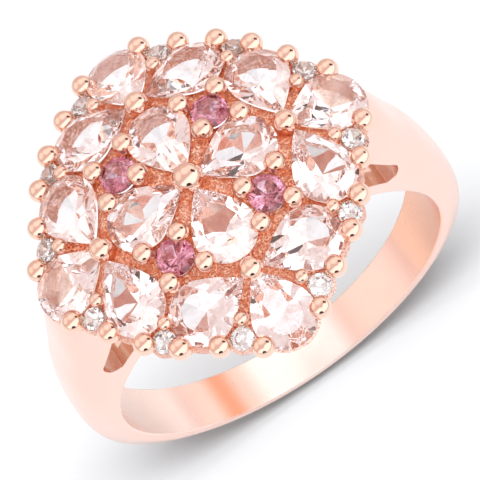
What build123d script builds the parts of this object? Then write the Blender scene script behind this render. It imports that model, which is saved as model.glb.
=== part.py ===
from build123d import *
import os
from math import cos, hypot, radians, sin, sqrt

# Cocktail ring: a tapered shank that carries a domed head of pear-cut and round stones.
# Frame: the origin is the middle of the finger hole, +Y runs along the finger,
# +X across the shoulders and +Z from the finger up through the head.

# Finger hole and shank
FINGER_R = 8.65        # radius of the finger hole
BASE_R = 10.0          # outer radius under the finger
SIDE_R = 10.26         # outer half-width of the shank at the height of the finger's centre
SHOULDER_CURL = 0.0195  # how fast the shoulders lean in: x = SIDE_R - SHOULDER_CURL * z * z
BASE_HALF = 1.15       # half-width of the band under the finger
TOP_HALF = 2.4         # half-width of the band over the finger
WIDEN_POWER = 1.25
SHOULDER_END = 54      # degrees above the horizontal where the outer face has passed into the head
SECTION_SPAN = 116     # degrees from the horizontal to past the middle of the band
SECTION_STEP = 13      # degrees between the sections
BORE_OVERLAP = 0.6     # how far the sections reach into the finger hole before it is bored
ARCH_STEP = 22.5       # degrees between the points of a section's domed outer face

# Rails under the head, and the openings beside them
RAIL_R = 9.35          # outer radius of the two rails that close the finger hole
RAIL_SLOT_HALF = 1.35  # half the gap between the rails
RAIL_SLOT_ANGLE = 42   # degrees above the horizontal where the gap between the rails starts
WINDOW_TIP = (8.35, 5.95)   # lower corner of each shoulder window, as (x, z)
WINDOW_TOP = (6.0, 10.4)   # where the window's outer edge has passed into the head
WINDOW_ROUND = 0.5
HOLLOW_TOP = 14.0      # the space between the windows is cut up to here, inside the head

# Dome of the head: every stone's girdle lies on one sphere
DOME_R = 17.0
GIRDLE_TOP = 13.2      # height of the girdle sphere over the middle of the finger
DOME_Z = GIRDLE_TOP - DOME_R
PLATE_TOP = 0.15       # from the girdles down to the top of the plate
PLATE_BOTTOM = 1.2     # from the girdles down to the underside of the plate
OUTLINE_Z = 15.0       # height over the dome's centre at which the plate's outline is drawn
HEAD_LOW = 12.5        # the plate's wall runs between these heights over the dome's centre
HEAD_HIGH = 18.5

# Plate outline, as (distance from the middle, degrees from a corner, radius) of its scallops
CORNER_SCALLOP = (7.38, 0, 1.53)
ACCENT_SCALLOP = (7.27, 16.5, 0.66)
SIDE_SCALLOP = (5.85, 29.8, 1.57)
MIDDLE_SCALLOP = (7.0, 45, 0.66)
PLATE_CORE_R = 6.6

# Stones: length, width, table height, pavilion depth
PEAR = (3.9, 2.95, 0.43, 1.2)
PINK = (1.75, 1.75, 0.28, 0.74)
WHITE = (1.05, 1.05, 0.18, 0.45)
ROUND_ARC = 117        # degrees from a pear's nose to where its sides leave the round end
GIRDLE_HALF = 0.03     # half the thickness of a girdle
KEEL_SHARE = 0.35      # a pear's facets meet this share of (length - width) behind its middle
TABLE_CUT = 0.44       # height of the table over the height where the crown's facets would meet
CROWN_STEEPER = 1.09   # slope of the small facets beside the girdle over that of the main ones
PAVILION_STEEPER = 1.08
STAR_REACH = 0.58      # share of the half-width at which the star facets leave the table
STAR_SLOPE = 0.72      # slope of the star facets over that of the main crown facets
CROWN_OPENING = 0.64   # outline of a seat's cut at the table and at its low end, as shares
LOW_OPENING = 0.5
CUT_THROUGH = 0.3      # how far a seat's cut runs through the plate's underside
SEAT_GAP = 0.03        # clearance of a stone in the metal

# Places of the stones over the head: (distance from the middle, degrees from a corner)
CORNER_PEAR_R = 6.82
INNER_PEAR_R = 2.4
SIDE_PEAR = (5.66, 25.6)
SIDE_PEAR_LEAN = 86    # degrees between a side pear's length and the direction of its corner
PINK_R = 3.47
WHITE_CORNER = (7.27, 16.5)
WHITE_MIDDLE_R = 7.05

# Prongs: (distance from the middle, degrees from a corner, radius of the ball)
RIM_PRONGS = ((7.86, 11.0, 0.53), (7.32, 24.6, 0.53), (7.24, 38.5, 0.54))
WHITE_PRONG_CORNER = (6.51, 14.2, 0.36)
WHITE_PRONG_MIDDLE = (6.28, 45, 0.36)
JUNCTION_PRONG = (4.89, 0, 0.56)
PINK_PRONGS_OUT = ((4.59, 45, 0.51), (2.43, 45, 0.51))
PINK_PRONG_SIDE = (3.78, 23.0, 0.51)
CENTRE_PRONG_R = 0.7
BALL_LIFT = 0.2        # height of a ball's centre over the girdles
CENTRE_LIFT = 0.45
POST_SHARE = 0.8       # radius of a prong's post over the radius of its ball
RIM_POST = 0.68        # depth of the rim prongs' posts under the girdles
INNER_POST = 0.55      # depth of the inner posts under the girdles
WHITE_LIFT = 0.16
SEAT_REACH = 4.0       # a prong is trimmed to the stones whose middles are this close

os.makedirs("parts", exist_ok=True)


def save(builder, name):
    """Label a finished piece and write it."""
    builder.part.label = name
    export_step(builder.part, f"parts/{name}.step")


# Places on the dome

def dome_plane(distance, angle, turn=0.0):
    """Plane tangent to the girdle sphere at a place over the head; x runs outwards, then turns."""
    bearing = radians(angle)
    outward = Vector(cos(bearing), sin(bearing), 0)
    height = sqrt(DOME_R**2 - distance**2)
    normal = (outward * distance + Vector(0, 0, height)).normalized()
    heading = radians(angle + turn)
    along = Vector(cos(heading), sin(heading), 0)
    along = (along - normal * along.dot(normal)).normalized()
    origin = outward * distance + Vector(0, 0, DOME_Z + height)
    return Plane(origin=origin, x_dir=along, z_dir=normal)


def at_corners(distance, angle):
    """Places on both sides of each of the head's four corners, or one at each corner."""
    turns = (angle, -angle) if angle not in (0, 45) else (angle,)
    return [(distance, corner + turn) for corner in (0, 90, 180, 270) for turn in turns]


corner_pears = [dome_plane(CORNER_PEAR_R, angle) for angle in (0, 90, 180, 270)]
inner_pears = [dome_plane(INNER_PEAR_R, angle) for angle in (0, 90, 180, 270)]
side_pears = [
    dome_plane(SIDE_PEAR[0], corner + side * SIDE_PEAR[1], side * (SIDE_PEAR_LEAN - SIDE_PEAR[1]))
    for corner in (0, 90, 180, 270)
    for side in (1, -1)
]
pink_places = [dome_plane(*place) for place in at_corners(PINK_R, 45)]
white_places = [
    dome_plane(*place) for place in at_corners(*WHITE_CORNER) + at_corners(WHITE_MIDDLE_R, 45)
]
pear_places = corner_pears + side_pears + inner_pears


# Stones

def girdle_outline(length, width, plane=Plane.XY, grow=0.0, share=1.0):
    """A pear's outline, point towards -x, or a circle if length and width are equal."""
    radius = (width / 2 + grow) * share
    with BuildSketch(plane) as outline:
        if length == width:
            Circle(radius)
        else:
            nose = (length / 2 + grow) * share
            middle = nose - radius
            bend = radians(ROUND_ARC)
            leave = (middle + radius * cos(bend), radius * sin(bend))
            with BuildLine():
                end = RadiusArc((leave[0], -leave[1]), leave, radius, short_sagitta=False)
                flank = TangentArc(leave, (-nose, 0), tangent=end % 1)
                mirror(flank, about=Plane.XZ)
            make_face()
    return outline


def brilliant(length, width, table, depth, fine=True):
    """A brilliant-cut stone with its girdle on z = 0, cut from a prism facet by facet."""
    outline = girdle_outline(length, width)
    rim = outline.sketch.face().outer_wire()
    rim_points = [rim @ (i / 360) for i in range(360)]
    keel = Vector((length - width) * KEEL_SHARE, 0, 0)
    crown = table / TABLE_CUT

    def facet(angle, reach, drop, level):
        """Plane through the outline's edge at one bearing, dropping by drop over the full reach."""
        bearing = Vector(cos(radians(angle)), sin(radians(angle)), 0)
        full = max((point - keel).dot(bearing) for point in rim_points)
        origin = keel + bearing * full * reach + Vector(0, 0, level)
        lean = full if drop > 0 else -full
        return Plane(origin=origin, z_dir=bearing * abs(drop) + Vector(0, 0, lean))

    mains = [45 * i for i in range(8)]
    halves = [22.5 * i + 11.25 for i in range(16)]
    facets = [facet(a, 1, crown, GIRDLE_HALF) for a in mains]
    facets += [facet(a, 1, -depth, -GIRDLE_HALF) for a in mains]
    if fine:
        facets += [facet(a, 1, crown * CROWN_STEEPER, GIRDLE_HALF) for a in halves]
        facets += [facet(a, 1, -depth * PAVILION_STEEPER, -GIRDLE_HALF) for a in halves]
        facets += [facet(a + 22.5, STAR_REACH, crown * STAR_SLOPE, table) for a in mains]
    with BuildPart() as stone:
        add(outline.sketch)
        extrude(amount=table)
        add(outline.sketch)
        extrude(amount=-depth - PLATE_BOTTOM)
        for plane in facets:
            split(bisect_by=plane, keep=Keep.BOTTOM)
    return stone.part


def seat_cutter(length, width, table, depth):
    """The space that a stone takes out of the metal, open through the plate's underside."""
    low = -PLATE_BOTTOM - CUT_THROUGH
    with BuildPart() as cutter:
        for top, top_share, bottom, bottom_share in (
            (table + SEAT_GAP, CROWN_OPENING, GIRDLE_HALF, 1),
            (-GIRDLE_HALF, 1, low, LOW_OPENING),
        ):
            upper = girdle_outline(length, width, Plane.XY.offset(top), SEAT_GAP, top_share)
            lower = girdle_outline(length, width, Plane.XY.offset(bottom), SEAT_GAP, bottom_share)
            loft([lower.sketch.face(), upper.sketch.face()], ruled=True)
        band = girdle_outline(length, width, Plane.XY.offset(-GIRDLE_HALF), SEAT_GAP)
        add(band.sketch)
        extrude(amount=2 * GIRDLE_HALF)
    return cutter.part


pear_cut = brilliant(*PEAR)
pink_cut = brilliant(*PINK)
white_cut = brilliant(*WHITE, fine=False)
seats = (
    (seat_cutter(*PEAR), pear_places),
    (seat_cutter(*PINK), pink_places),
    (seat_cutter(*WHITE), white_places),
)


def set_stones(prefix, cut, places):
    """Write one node for each place of a kind of stone."""
    for number, place in enumerate(places, 1):
        with BuildPart() as stone:
            with Locations(place.location):
                add(cut)
        save(stone, f"{prefix}_{number}")


# Head plate

def plate_outline(height):
    """Scalloped outline of the plate, scaled towards the dome's centre, at a height over it."""
    share = height / OUTLINE_Z
    with BuildSketch(Plane.XY.offset(DOME_Z + height)) as outline:
        Circle(PLATE_CORE_R * share)
        for distance, angle, radius in (
            CORNER_SCALLOP, ACCENT_SCALLOP, SIDE_SCALLOP, MIDDLE_SCALLOP,
        ):
            for reach, bearing in at_corners(distance * share, angle):
                at = radians(bearing)
                with Locations((reach * cos(at), reach * sin(at))):
                    Circle(radius * share)
    return Face(outline.sketch.face().outer_wire())


with BuildPart() as head_space:
    loft([plate_outline(HEAD_LOW), plate_outline(HEAD_HIGH)], ruled=True)
    with Locations((0, 0, DOME_Z)):
        Sphere(DOME_R - PLATE_BOTTOM, mode=Mode.SUBTRACT)

with BuildPart() as plate_blank:
    add(head_space.part)
    with Locations((0, 0, DOME_Z)):
        Sphere(DOME_R - PLATE_TOP, mode=Mode.INTERSECT)

with BuildPart() as seat_plate:
    add(plate_blank.part)
    for cutter, places in seats:
        with Locations(*[place.location for place in places]):
            add(cutter, mode=Mode.SUBTRACT)
save(seat_plate, "seat_plate")


# Prongs

def trimmed_prong(plane, radius, post_depth, lift):
    """A ball on a post, cut back to the plate and to the stones that it holds."""
    with BuildPart() as prong:
        with BuildSketch(plane.offset(-post_depth)):
            Circle(radius * POST_SHARE)
        extrude(amount=post_depth + lift)
        with Locations(plane.offset(lift).location):
            Sphere(radius)
        add(plate_blank.part, mode=Mode.SUBTRACT)
        for cutter, places in seats:
            near = [place for place in places if (place.origin - plane.origin).length < SEAT_REACH]
            for place in near:
                with Locations(place.location):
                    add(cutter, mode=Mode.SUBTRACT)
    pieces = prong.part.solids().sort_by(SortBy.VOLUME)
    print("prong pieces", [round(piece.volume, 4) for piece in pieces])
    return pieces[-1]


def prongs(name, kinds, post_depth, lift=BALL_LIFT):
    """Every prong of some kinds, as one node of separate solids."""
    with BuildPart() as group:
        for distance, angle, radius in kinds:
            prong = trimmed_prong(dome_plane(distance, angle), radius, post_depth, lift)
            sides = [prong] if angle in (0, 45) else [prong, prong.mirror(Plane.XZ)]
            with PolarLocations(0, 4):
                add(sides)
    print(name, len(group.part.solids()), "solids")
    save(group, name)


prongs("rim_prongs", RIM_PRONGS, RIM_POST)
prongs("white_stone_prongs", (WHITE_PRONG_CORNER, WHITE_PRONG_MIDDLE), INNER_POST, WHITE_LIFT)
prongs("inner_prongs", (JUNCTION_PRONG, *PINK_PRONGS_OUT, PINK_PRONG_SIDE), INNER_POST)

with BuildPart() as centre_prong:
    add(trimmed_prong(dome_plane(0, 0), CENTRE_PRONG_R, INNER_POST, CENTRE_LIFT))
save(centre_prong, "centre_prong")


# Shank

def crest_radius(angle):
    """Distance from the finger's axis to the middle of the shank's outer face."""
    if angle <= 0:
        return 1 / hypot(cos(angle) / SIDE_R, sin(angle) / BASE_R)
    angle = min(angle, radians(SHOULDER_END))
    curl = SHOULDER_CURL * sin(angle) ** 2
    return (sqrt(cos(angle) ** 2 + 4 * curl * SIDE_R) - cos(angle)) / (2 * curl)


def band_section(degrees_up):
    """Section of the band at an angle over the horizontal: straight sides into a domed outer face."""
    angle = radians(degrees_up)
    rise = (1 + sin(angle)) / 2
    half = BASE_HALF + (TOP_HALF - BASE_HALF) * rise**WIDEN_POWER
    power = 2 / (2 + rise)
    inner = FINGER_R - BORE_OVERLAP
    height = crest_radius(angle) - FINGER_R
    plane = Plane(origin=(0, 0, 0), x_dir=(0, 1, 0), z_dir=(sin(angle), 0, -cos(angle)))
    flank = [
        (half * cos(a) ** power, FINGER_R + height * sin(a) ** power)
        for a in (radians(ARCH_STEP * i) for i in (1, 2, 3))
    ]
    crest = (0, FINGER_R + height)
    other_flank = [(-y, z) for y, z in reversed(flank)]
    with BuildSketch(plane) as section:
        with BuildLine():
            ends = (half, FINGER_R), (-half, FINGER_R)
            Spline(ends[0], *flank, crest, *other_flank, ends[1], tangents=[(0, 1), (0, -1)])
            Polyline((-half, FINGER_R), (-half, inner), (half, inner), (half, FINGER_R))
        make_face()
    return section.sketch.face()


with BuildPart() as shank:
    loft([band_section(up) for up in range(-SECTION_SPAN, SECTION_SPAN, SECTION_STEP)])
    split(bisect_by=Plane.YZ, keep=Keep.TOP)
    mirror(about=Plane.YZ)
    with BuildSketch(Plane.XZ):
        Circle(FINGER_R)
    extrude(amount=2 * TOP_HALF, both=True, mode=Mode.SUBTRACT)
    with BuildSketch(Plane.XZ) as under_head:
        tip, top = WINDOW_TIP, WINDOW_TOP
        right_side = [tip, top, (top[0], HOLLOW_TOP)]
        left_side = [(-x, z) for x, z in reversed(right_side)]
        Polygon(*right_side, *left_side, align=None)
        fillet(under_head.vertices().group_by(Axis.Y)[0], radius=WINDOW_ROUND)
        Circle(RAIL_R, mode=Mode.SUBTRACT)
    extrude(amount=2 * TOP_HALF, both=True, mode=Mode.SUBTRACT)
    with BuildSketch(Plane.XZ):
        slot = radians(RAIL_SLOT_ANGLE)
        edge = (2 * RAIL_R * cos(slot), 2 * RAIL_R * sin(slot))
        Polygon((0, 0), edge, (-edge[0], edge[1]), align=None)
        Circle(RAIL_R + SEAT_GAP, mode=Mode.INTERSECT)
    extrude(amount=RAIL_SLOT_HALF, both=True, mode=Mode.SUBTRACT)
    add(head_space.part, mode=Mode.SUBTRACT)
print("shank", len(shank.part.solids()), "solids", round(shank.part.volume, 1), "mm3")
save(shank, "shank")

set_stones("corner_morganite", pear_cut, corner_pears)
set_stones("side_morganite", pear_cut, side_pears)
set_stones("inner_morganite", pear_cut, inner_pears)
set_stones("pink_tourmaline", pink_cut, pink_places)
set_stones("white_accent", white_cut, white_places)
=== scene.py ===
"""Looks for the cocktail ring: polished rose gold, faceted morganites, pink tourmalines and white
stones, on a plain pale floor in soft studio light. Objects are in metres, in the CAD's frame;
the materials' patterns and masks are in millimetres, in the same frame."""

import math

import bpy
from mathutils import Matrix, Vector


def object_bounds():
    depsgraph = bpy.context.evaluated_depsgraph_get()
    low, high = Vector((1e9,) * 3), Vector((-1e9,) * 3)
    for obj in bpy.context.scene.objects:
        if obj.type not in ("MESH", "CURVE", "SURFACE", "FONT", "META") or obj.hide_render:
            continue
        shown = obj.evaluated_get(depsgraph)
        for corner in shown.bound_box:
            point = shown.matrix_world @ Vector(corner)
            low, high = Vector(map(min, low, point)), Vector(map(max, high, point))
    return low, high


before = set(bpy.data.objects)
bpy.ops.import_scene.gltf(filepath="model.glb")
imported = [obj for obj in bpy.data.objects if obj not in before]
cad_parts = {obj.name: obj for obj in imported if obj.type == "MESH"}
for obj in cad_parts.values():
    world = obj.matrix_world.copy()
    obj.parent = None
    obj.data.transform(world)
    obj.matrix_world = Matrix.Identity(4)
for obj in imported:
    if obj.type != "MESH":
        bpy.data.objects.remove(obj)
CAD_LOW, CAD_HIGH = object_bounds()
MM = 0.001
scene = bpy.context.scene


def colour(red, green, blue):
    return (red, green, blue, 1.0)


# Places on the ring that the materials go by, in millimetres. A pair is where a mask begins and
# where it is full.
DOME_CENTRE_Z = -3.8           # middle of the sphere that the stones' girdles lie on
UNDER_PLATE_R = 15.8           # from there to the underside of the head's plate
UNDER_PLATE_BAND = (0.12, 0.04)    # from that radius
SEAT_TOP_R = (16.5, 16.68)     # from the dome's centre to the upper part of the stones' seats
AWAY_FROM_RIM_R = (7.5, 6.7)   # from the middle of the head
BORE_R = (8.80, 8.68)          # from the middle of the finger hole to its wall
BAND_LOW_Z = (1.0, -2.5)       # heights on the lower part of the band

# Stretches inside the band: the middle, and how far from it the colour is full and has ended.
# They stand for what the photographed ring mirrors there, so they only suit the camera's view.
PALE_STRETCH = (-0.5, 1.8, 3.0)
LEFT_STRETCH = (-8.2, 1.6, 3.4)
RIGHT_STRETCH = (9.0, 2.2, 3.3)
NARROW_STRETCH = (-4.3, 0.05, 0.9)

# Golds
BAND_TONE = colour(0.92, 0.65, 0.565)
BAND_DEEP = colour(0.91, 0.615, 0.515)
BEAD_TONE = colour(0.90, 0.63, 0.51)
BEAD_DEEP = colour(0.90, 0.58, 0.46)
# Painted highlight and wear: the band's edges are paler, as well as rougher.
HIGHLIGHT_AND_WEAR_EDGE = colour(1.0, 0.84, 0.76)
# Painted light: the seats' walls are paler than the gold so the stones over them look brighter.
PALE_SEAT_PAINTED_LIGHT = colour(0.94, 0.79, 0.74)        # walls of the stones' seats
SEAT_DARK = colour(0.66, 0.34, 0.23)        # grains on them
# Painted shade: the tops of the seats' walls, next to the stones, are darker.
LIP_PAINTED_SHADE = colour(0.66, 0.30, 0.19)         # the upper part of those walls
# Painted light too: the pale walls of the seats along the head's outer edge.
RIM_SEAT_PAINTED_LIGHT = colour(0.94, 0.79, 0.73)         # walls of the seats along the head's outer edge
# Between the stones: patina and painted shade, darker where metal closes in; light grains there
# are grain and painted glints.
PATINA_AND_PAINTED_SHADE = colour(0.70, 0.20, 0.09)      # between the stones
GRAIN_AND_PAINTED_GLINT = colour(0.97, 0.62, 0.46)     # grains there
# Painted reflections: these colours inside the band stand in for what the gold mirrors there.
PAINTED_REFLECTION_PALE = colour(0.99, 0.93, 0.88)      # the stretches inside the band
PAINTED_REFLECTION_LEFT = colour(1.0, 0.76, 0.67)
PAINTED_REFLECTION_RIGHT = colour(0.95, 0.53, 0.38)
PAINTED_REFLECTION_NARROW = colour(0.86, 0.38, 0.24)
# Painted light: the band's hollows are paler where metal closes in on them.
HOLLOW_PAINTED_LIGHT = colour(0.99, 0.88, 0.76)      # hollows of the band, such as the shoulder windows

# Grain and wear, in millimetres
GRIT = 0.08
FINE_GRIT = 0.06
EDGE_ROUND = 0.06              # radius of the band's softened edges
# The paler edge stretch is wear and a painted highlight.
HIGHLIGHT_AND_WEAR_REACH = 0.08               # reach of the worn stretch beside them
SCRATCH_DEPTH = 0.004
CAST_DEPTH = 0.03
RIPPLE_DEPTH = 0.02            # of the stones' facets
WELD_REACH = 0.0005            # corners closer than this are joined

RAY_SAMPLES = 6                # of the edge and hollow masks
SMOOTH_ANGLE = math.radians(32)    # metal faces that meet at less than this are smoothed together

# Floor, in metres
FLOOR_RADIUS = 1.5
FLOOR_SIDES = 96
PAPER_DARK = colour(0.315, 0.325, 0.335)
PAPER_LIGHT = colour(0.335, 0.345, 0.355)

# Studio: the tent's two halves, and the lamp that makes the contact shadow, in metres
TENT_SPLIT = (-0.18, 0.88, 0.43)   # direction from the front half's side to the back half's
TENT_BORDER = (-0.12, 0.1)     # along it, where the front half starts to fade and the back is full
TENT_FRONT = colour(1.55, 1.57, 1.60)
TENT_BACK = colour(0.90, 0.73, 0.70)
LAMP_WATTS = 2.55
LAMP_SIZE = (0.32, 0.15)
LAMP_PLACE = (0, 84)           # azimuth and elevation
LAMP_AWAY = 0.3                # from the floor under the ring

# Camera: looking down at the head from the front, rolled so that the shoulders run uphill
CAMERA_AZIMUTH = -0.5
CAMERA_ELEVATION = 64.3
CAMERA_ROLL = -34.4
CAMERA_DISTANCE = 293 * MM
CAMERA_LENS = 500
CAMERA_SENSOR = 36
CAMERA_AIM_Z = 13.714 * MM     # a point on the head's axis, near the centre of the middle ball
CAMERA_RIGHT = 2.316 * MM      # from that point to the middle of the picture
CAMERA_DOWN = 2.785 * MM

# Bounces for light on its way through the stones' facets and between the metal's faces
MAX_BOUNCES = 32
GLOSSY_BOUNCES = 24


# Node helpers

def new_material(name):
    """A material, its node tree and its Principled shader."""
    made = bpy.data.materials.new(name)
    made.use_nodes = True
    return made, made.node_tree, made.node_tree.nodes["Principled BSDF"]


def fill(tree, made, inputs):
    """Set or link a node's inputs by name or number."""
    for key, value in inputs.items():
        if isinstance(value, bpy.types.NodeSocket):
            tree.links.new(value, made.inputs[key])
        else:
            made.inputs[key].default_value = value
    return made


def node(tree, kind, inputs=None, **settings):
    """A shader node with its settings and inputs."""
    made = tree.nodes.new(kind)
    for key, value in settings.items():
        setattr(made, key, value)
    return fill(tree, made, inputs or {})


def math_node(tree, operation, a, b=0.0):
    return node(tree, "ShaderNodeMath", {0: a, 1: b}, operation=operation).outputs[0]


def times(tree, a, b):
    return math_node(tree, "MULTIPLY", a, b)


def vector_node(tree, operation, a, b=None):
    inputs = {0: a} if b is None else {0: a, 1: b}
    return node(tree, "ShaderNodeVectorMath", inputs, operation=operation)


def spread(tree, value, low, high, to_low=0.0, to_high=1.0):
    """Smooth step of a value from low to high."""
    return node(
        tree, "ShaderNodeMapRange",
        {"Value": value, "From Min": low, "From Max": high, "To Min": to_low, "To Max": to_high},
        interpolation_type="SMOOTHSTEP",
    ).outputs["Result"]


def blend(tree, share, a, b):
    """Mix of two colours."""
    made = node(tree, "ShaderNodeMix", data_type="RGBA")
    return fill(tree, made, {0: share, 6: a, 7: b}).outputs[2]


def place(tree, stretch=(1, 1, 1), turn=(0, 0, 0)):
    """The frame's coordinates in millimetres, stretched and turned."""
    at = node(tree, "ShaderNodeTexCoord").outputs["Object"]
    scale = [share / MM for share in stretch]
    return node(
        tree, "ShaderNodeMapping", {"Vector": at, "Scale": scale, "Rotation": turn}
    ).outputs[0]


def noise(tree, size, detail=3.0, rough=0.5, stretch=(1, 1, 1), turn=(0, 0, 0), warp=0.0):
    """Noise with features of a size."""
    return node(
        tree, "ShaderNodeTexNoise",
        {"Vector": place(tree, stretch, turn), "Scale": 1 / size, "Detail": detail,
         "Roughness": rough, "Distortion": warp},
    ).outputs["Fac"]


def grains(tree, size):
    """Crisp grains of a size, each light or dark."""
    cells = node(
        tree, "ShaderNodeTexVoronoi", {"Vector": place(tree), "Scale": 1 / size}
    ).outputs["Color"]
    lottery = node(tree, "ShaderNodeSeparateColor", {0: cells}).outputs[0]
    return spread(tree, lottery, 0.35, 0.65)


def apart(tree, first, second):
    """Distance from one of the frame's axes, over the plane of two coordinates."""
    split = node(tree, "ShaderNodeSeparateXYZ", {0: place(tree)})
    flat = node(
        tree, "ShaderNodeCombineXYZ",
        {first: split.outputs[first], second: split.outputs[second]},
    )
    return vector_node(tree, "LENGTH", flat.outputs[0]).outputs["Value"]


# Masks: one inside, nought outside

def hollow_mask(tree, reach, low, high):
    """Hollows that metal or stones close in within a reach in metres."""
    open_share = node(
        tree, "ShaderNodeAmbientOcclusion", {"Distance": reach}, samples=RAY_SAMPLES
    ).outputs["AO"]
    return spread(tree, open_share, low, high, 1.0, 0.0)


def from_dome_centre(tree):
    """Vector from the middle of the sphere that the stones' girdles lie on."""
    centre = Vector((0, 0, DOME_CENTRE_Z))
    return vector_node(tree, "SUBTRACT", place(tree), centre).outputs[0]


def dome_radius(tree):
    return vector_node(tree, "LENGTH", from_dome_centre(tree)).outputs["Value"]


def facing_out(tree):
    """Faces that look out of the head's dome, not the walls of its seats."""
    out = vector_node(tree, "NORMALIZE", from_dome_centre(tree)).outputs[0]
    flat = node(tree, "ShaderNodeNewGeometry").outputs["Normal"]
    same = vector_node(tree, "DOT_PRODUCT", out, flat).outputs["Value"]
    return spread(tree, same, 0.85, 0.97)


def away_from_rim(tree):
    """The middle of the head, without its outer edge."""
    return spread(tree, apart(tree, "X", "Y"), *AWAY_FROM_RIM_R)


def along_band(tree, middle, full, end):
    """A stretch of the finger hole's wall, by its place across the ring."""
    split = node(tree, "ShaderNodeSeparateXYZ", {0: place(tree)})
    away = math_node(tree, "ABSOLUTE", math_node(tree, "SUBTRACT", split.outputs["X"], middle))
    low = spread(tree, split.outputs["Z"], *BAND_LOW_Z)
    bore = spread(tree, apart(tree, "X", "Z"), *BORE_R)
    return times(tree, times(tree, spread(tree, away, end, full), low), bore)


def under_plate(tree):
    """The band's top where it lies right under the head's plate."""
    off = math_node(tree, "SUBTRACT", dome_radius(tree), UNDER_PLATE_R)
    near = spread(tree, math_node(tree, "ABSOLUTE", off), *UNDER_PLATE_BAND)
    return times(tree, near, facing_out(tree))


def edge_mask(tree):
    """The edges of a piece, where a rounded normal leaves the true one."""
    rounded = node(
        tree, "ShaderNodeBevel", {"Radius": HIGHLIGHT_AND_WEAR_REACH * MM}, samples=RAY_SAMPLES
    ).outputs[0]
    flat = node(tree, "ShaderNodeNewGeometry").outputs["Normal"]
    same = vector_node(tree, "DOT_PRODUCT", rounded, flat).outputs["Value"]
    return spread(tree, math_node(tree, "SUBTRACT", 1.0, same), 0.02, 0.25)


# Materials

def plate_tint(tree, tint):
    """The head's plate: seat walls paler than the gold as painted light, darker at their tops as
    painted shade, and a deep patina with painted shade and painted glints between the stones.
    """
    middle = away_from_rim(tree)
    outward = facing_out(tree)
    # Seat walls: grain on a pale tone that is painted light.
    seat = blend(tree, grains(tree, GRIT), SEAT_DARK, PALE_SEAT_PAINTED_LIGHT)
    seat = blend(tree, middle, RIM_SEAT_PAINTED_LIGHT, seat)
    # Painted shade: the tops of the seats' walls turn darker.
    shaded_lip = times(tree, spread(tree, dome_radius(tree), *SEAT_TOP_R), middle)
    seat = blend(tree, shaded_lip, seat, LIP_PAINTED_SHADE)
    tint = blend(tree, outward, seat, tint)
    # Painted shade with patina in the hollows between the stones; the light grains are grain and
    # painted glints.
    glint_patches = spread(tree, noise(tree, 0.35, 3.0, 0.6), 0.35, 0.58)
    bright = times(tree, grains(tree, FINE_GRIT), glint_patches)
    patina_and_shade = blend(tree, bright, PATINA_AND_PAINTED_SHADE, GRAIN_AND_PAINTED_GLINT)
    hollow = times(tree, hollow_mask(tree, 1.6 * MM, 0.65, 1.0), outward)
    return blend(tree, times(tree, hollow, middle), tint, patina_and_shade)


def band_tint(tree, tint):
    """The band: painted reflections as warmer and paler stretches inside, grain on the seats' pale
    painted-light tone under the plate, and pale hollows of painted light.
    """
    # Painted reflections: pale, pinkish, orange and narrow orange-red stretches inside the band.
    tint = blend(tree, along_band(tree, *PALE_STRETCH), tint, PAINTED_REFLECTION_PALE)
    tint = blend(tree, times(tree, along_band(tree, *LEFT_STRETCH), 0.8), tint, PAINTED_REFLECTION_LEFT)
    tint = blend(tree, along_band(tree, *RIGHT_STRETCH), tint, PAINTED_REFLECTION_RIGHT)
    tint = blend(tree, along_band(tree, *NARROW_STRETCH), tint, PAINTED_REFLECTION_NARROW)
    # Under the plate: the seats' grain on their pale painted-light tone.
    seat = blend(tree, grains(tree, GRIT), SEAT_DARK, PALE_SEAT_PAINTED_LIGHT)
    tint = blend(tree, under_plate(tree), tint, seat)
    # Painted light: paler walls in the band's hollows.
    painted_light_share = times(tree, hollow_mask(tree, 2.5 * MM, 0.4, 0.85), 0.7)
    return blend(tree, painted_light_share, tint, HOLLOW_PAINTED_LIGHT)


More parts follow.
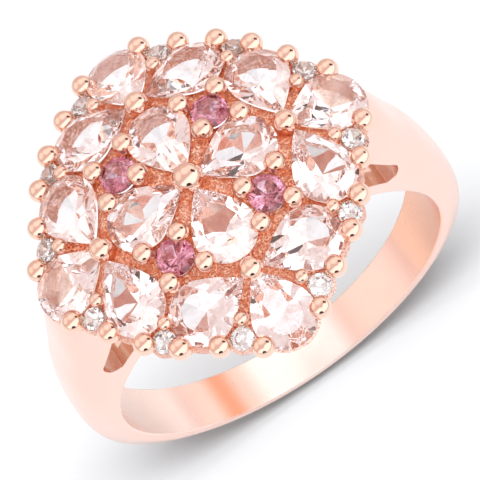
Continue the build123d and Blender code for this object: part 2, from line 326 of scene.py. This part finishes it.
def gold(name, tone, deep, rough, scratch, grain, soft_edges=False, detail=None):
    """Polished rose gold: a drift of colour, hairline scratches and a fine cast grain."""
    made, tree, shader = new_material(name)
    shader.inputs["Metallic"].default_value = 1.0
    drift = spread(tree, noise(tree, 5.0, 2.0), 0.35, 0.7)
    mottle = spread(tree, noise(tree, 0.45, 4.0, 0.6), 0.4, 0.75)
    tint = blend(tree, times(tree, drift, 0.45), tone, deep)
    tint = blend(tree, times(tree, mottle, 0.12), tint, deep)
    if detail:
        tint = detail(tree, tint)

    hair = noise(tree, 0.05, 2.0, stretch=(0.12, 1.0, 1.0), turn=(0.2, 0.5, 0.3))
    cross = noise(tree, 0.06, 2.0, stretch=(1.0, 0.15, 1.0), turn=(0.4, -0.3, 0.8))
    lines = math_node(
        tree, "MAXIMUM", spread(tree, hair, 0.62, 0.74), spread(tree, cross, 0.64, 0.76)
    )
    worn = times(tree, lines, spread(tree, noise(tree, 2.2, 2.0), 0.42, 0.7))
    level = math_node(tree, "ADD", times(tree, worn, 0.10), rough)
    level = math_node(tree, "ADD", level, times(tree, mottle, 0.04))
    bump = node(
        tree, "ShaderNodeBump",
        {"Height": worn, "Strength": scratch, "Distance": SCRATCH_DEPTH * MM}, invert=True,
    )
    if soft_edges:
        edge = edge_mask(tree)
        # Painted highlight and wear: paler edges.
        tint = blend(tree, times(tree, edge, 0.5), tint, HIGHLIGHT_AND_WEAR_EDGE)
        level = math_node(tree, "ADD", level, times(tree, edge, 0.06))
        soft = node(
            tree, "ShaderNodeBevel", {"Radius": EDGE_ROUND * MM}, samples=RAY_SAMPLES
        ).outputs[0]
        tree.links.new(soft, bump.inputs["Normal"])
    pits = spread(tree, noise(tree, 0.09, 5.0, 0.65), 0.45, 0.8)
    cast = node(
        tree, "ShaderNodeBump",
        {"Height": pits, "Strength": grain, "Distance": CAST_DEPTH * MM,
         "Normal": bump.outputs[0]},
    )
    fill(tree, shader, {"Base Color": tint, "Roughness": level, "Normal": cast.outputs[0]})
    return made


def gem(name, tone, deep, zoning, zone_size, ior, clear, absorbed, density, veil, veiled,
        patch_size):
    """A faceted stone: clear, with colour zoning, faint inclusions and slightly rubbed facets."""
    made, tree, shader = new_material(name)
    zone = spread(tree, noise(tree, zone_size, 1.5, 0.4, warp=0.6), 0.35, 0.7)
    tint = blend(tree, times(tree, zone, zoning), tone, deep)
    patch = spread(tree, noise(tree, patch_size, 2.0, 0.6), 0.48, 0.60)
    speckled = times(tree, times(tree, patch, grains(tree, GRIT)), veiled)
    tint = blend(tree, speckled, tint, veil)
    rub = spread(tree, noise(tree, 0.12, 4.0, 0.6), 0.6, 0.85)
    bump = node(
        tree, "ShaderNodeBump",
        {"Height": noise(tree, 0.6, 0.0), "Strength": 0.4, "Distance": RIPPLE_DEPTH * MM},
    )
    fill(tree, shader, {
        "Transmission Weight": clear, "IOR": ior, "Base Color": tint,
        "Roughness": times(tree, rub, 0.04), "Normal": bump.outputs[0],
    })
    body = node(tree, "ShaderNodeVolumeAbsorption", {"Color": absorbed, "Density": density})
    tree.links.new(body.outputs[0], tree.nodes["Material Output"].inputs["Volume"])
    return made


shank_gold = gold(
    "rose_gold_band", BAND_TONE, BAND_DEEP, rough=0.22, scratch=0.25, grain=0.01,
    soft_edges=True, detail=band_tint,
)
plate_gold = gold(
    "rose_gold_plate", BAND_TONE, BAND_DEEP, rough=0.15, scratch=0.2, grain=0.9,
    detail=plate_tint,
)
bead_gold = gold("rose_gold_beads", BEAD_TONE, BEAD_DEEP, rough=0.05, scratch=0.2, grain=0.02)
morganite = gem(
    "morganite", tone=colour(1.0, 0.985, 1.0), deep=colour(0.99, 0.94, 0.95),
    zoning=0.5, zone_size=2.2, ior=1.58, clear=1.0, absorbed=colour(0.80, 0.34, 0.42), density=10,
    veil=colour(0.86, 0.66, 0.60), veiled=0.75, patch_size=0.8,
)
tourmaline = gem(
    "pink_tourmaline", tone=colour(1.0, 0.92, 0.98), deep=colour(0.46, 0.12, 0.16),
    zoning=1.0, zone_size=0.45, ior=1.74, clear=1.0, absorbed=colour(0.92, 0.14, 0.46),
    density=330, veil=colour(0.24, 0.05, 0.07), veiled=0.95, patch_size=0.4,
)
white_stone = gem(
    "white_stone", tone=colour(0.98, 0.99, 1.0), deep=colour(0.94, 0.97, 0.98),
    zoning=0.5, zone_size=0.8, ior=1.8, clear=0.94, absorbed=colour(0.5, 0.8, 1.0), density=20,
    veil=colour(0.80, 0.86, 0.86), veiled=0.6, patch_size=0.4,
)

GEMS = (morganite, tourmaline, white_stone)
LOOKS = (
    ("shank", shank_gold), ("seat_plate", plate_gold), ("corner_morganite", morganite),
    ("side_morganite", morganite), ("inner_morganite", morganite),
    ("pink_tourmaline", tourmaline), ("white_accent", white_stone), ("", bead_gold),
)

for name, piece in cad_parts.items():
    look = next(made for start, made in LOOKS if name.startswith(start))
    piece.data.materials.clear()
    piece.data.materials.append(look)
    for face in piece.data.polygons:
        face.use_smooth = look not in GEMS
    weld = piece.modifiers.new("weld", "WELD")
    weld.merge_threshold = WELD_REACH * MM
    if look not in GEMS:
        split = piece.modifiers.new("sharp", "EDGE_SPLIT")
        split.split_angle = SMOOTH_ANGLE


# Floor: plain pale paper, seen through from below

bpy.ops.mesh.primitive_circle_add(
    vertices=FLOOR_SIDES, radius=FLOOR_RADIUS, fill_type="NGON", location=(0, 0, CAD_LOW.z)
)
floor = bpy.context.object
floor.name = "floor"
paper, tree, shader = new_material("pale_floor")
fibre = spread(tree, noise(tree, 30.0), 0.3, 0.7)
tint = blend(tree, fibre, PAPER_DARK, PAPER_LIGHT)
fill(tree, shader, {"Base Color": tint, "Roughness": 0.9, "Specular IOR Level": 0.0})
under = node(tree, "ShaderNodeNewGeometry").outputs["Backfacing"]
clear = node(tree, "ShaderNodeBsdfTransparent").outputs[0]
both_sides = node(tree, "ShaderNodeMixShader", {0: under, 1: shader.outputs[0], 2: clear})
tree.links.new(both_sides.outputs[0], tree.nodes["Material Output"].inputs["Surface"])
floor.data.materials.append(paper)


# Directions

def toward(azimuth, elevation):
    """Unit vector towards a place around the ring; azimuth 0 is the front, 90 the right side."""
    a, e = math.radians(azimuth), math.radians(elevation)
    return Vector((math.sin(a) * math.cos(e), -math.cos(a) * math.cos(e), math.sin(e)))


back = toward(CAMERA_AZIMUTH, CAMERA_ELEVATION)
turned = math.radians(CAMERA_AZIMUTH)
level_right = Vector((math.cos(turned), math.sin(turned), 0))
level_up = back.cross(level_right)
roll = math.radians(CAMERA_ROLL)
right = level_right * math.cos(roll) + level_up * math.sin(roll)
up = level_up * math.cos(roll) - level_right * math.sin(roll)


# Studio: a bright tent with a few pale and dark cards

# Each card's direction, half its angle across, the softness of its edge, and its colour. The two
# by the camera's axes are where a bead mirrors them low and a little right, and high and right.
CARDS = (
    (toward(164, 62), 25, 12, colour(1.22, 1.20, 1.18)),
    (toward(-121, 30), 22, 12, colour(1.24, 1.16, 1.12)),
    (toward(121, 30), 22, 12, colour(1.24, 1.16, 1.12)),
    (toward(90, 24), 9, 3, colour(0.16, 0.11, 0.11)),
    ((back * 0.48 + right * 0.17 - up * 0.86).normalized(), 18, 2, colour(0.09, 0.05, 0.04)),
    ((back * 0.48 + right * 0.48 + up * 0.73).normalized(), 11, 2, colour(0.10, 0.06, 0.05)),
)


def card(tree, direction, shade, way, half_angle, soft, tone):
    """A round card in front of the tent."""
    near = vector_node(tree, "DOT_PRODUCT", direction, way).outputs["Value"]
    inner, outer = math.radians(half_angle - soft), math.radians(half_angle + soft)
    return blend(tree, spread(tree, near, math.cos(outer), math.cos(inner)), shade, tone)


world = bpy.data.worlds.new("tent")
scene.world = world
world.use_nodes = True
tree = world.node_tree
tree.nodes.clear()
direction = node(tree, "ShaderNodeTexCoord").outputs["Generated"]
side = vector_node(tree, "DOT_PRODUCT", direction, TENT_SPLIT).outputs["Value"]
tent = blend(tree, spread(tree, side, *TENT_BORDER), TENT_FRONT, TENT_BACK)
for entry in CARDS:
    tent = card(tree, direction, tent, *entry)
background = node(tree, "ShaderNodeBackground", {"Color": tent, "Strength": 1.0})
node(tree, "ShaderNodeOutputWorld", {"Surface": background.outputs[0]})

# A soft lamp over the ring that lights only the floor, and that only the band shades
lamp_data = bpy.data.lights.new("floor_lamp", "AREA")
lamp_data.shape = "ELLIPSE"
lamp_data.size, lamp_data.size_y = LAMP_SIZE
lamp_data.energy = LAMP_WATTS
lamp = bpy.data.objects.new("floor_lamp", lamp_data)
scene.collection.objects.link(lamp)
lamp_way = toward(*LAMP_PLACE)
lamp.location = Vector((0, 0, CAD_LOW.z)) + lamp_way * LAMP_AWAY
lamp.rotation_mode = "QUATERNION"
lamp.rotation_quaternion = lamp_way.to_track_quat("Z", "Y")
lamp.visible_glossy = False
lamp.visible_transmission = False
blockers = bpy.data.collections.new("band_shadow")
blockers.objects.link(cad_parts["shank"])
lamp.light_linking.blocker_collection = blockers
receivers = bpy.data.collections.new("floor_light")
receivers.objects.link(floor)
lamp.light_linking.receiver_collection = receivers

scene.cycles.max_bounces = MAX_BOUNCES
scene.cycles.transmission_bounces = MAX_BOUNCES
scene.cycles.glossy_bounces = GLOSSY_BOUNCES


# Camera

camera_data = bpy.data.cameras.new("camera")
camera_data.sensor_width = CAMERA_SENSOR
camera_data.lens = CAMERA_LENS
camera_data.clip_start = 0.01
camera_data.clip_end = 10
camera = bpy.data.objects.new("camera", camera_data)
scene.collection.objects.link(camera)
pose = Matrix((right, up, back)).transposed().to_4x4()
aim = Vector((0, 0, CAMERA_AIM_Z)) + right * CAMERA_RIGHT - up * CAMERA_DOWN
pose.translation = aim + back * CAMERA_DISTANCE
camera.matrix_world = pose
scene.camera = camera
scene.view_settings.view_transform = "Standard"
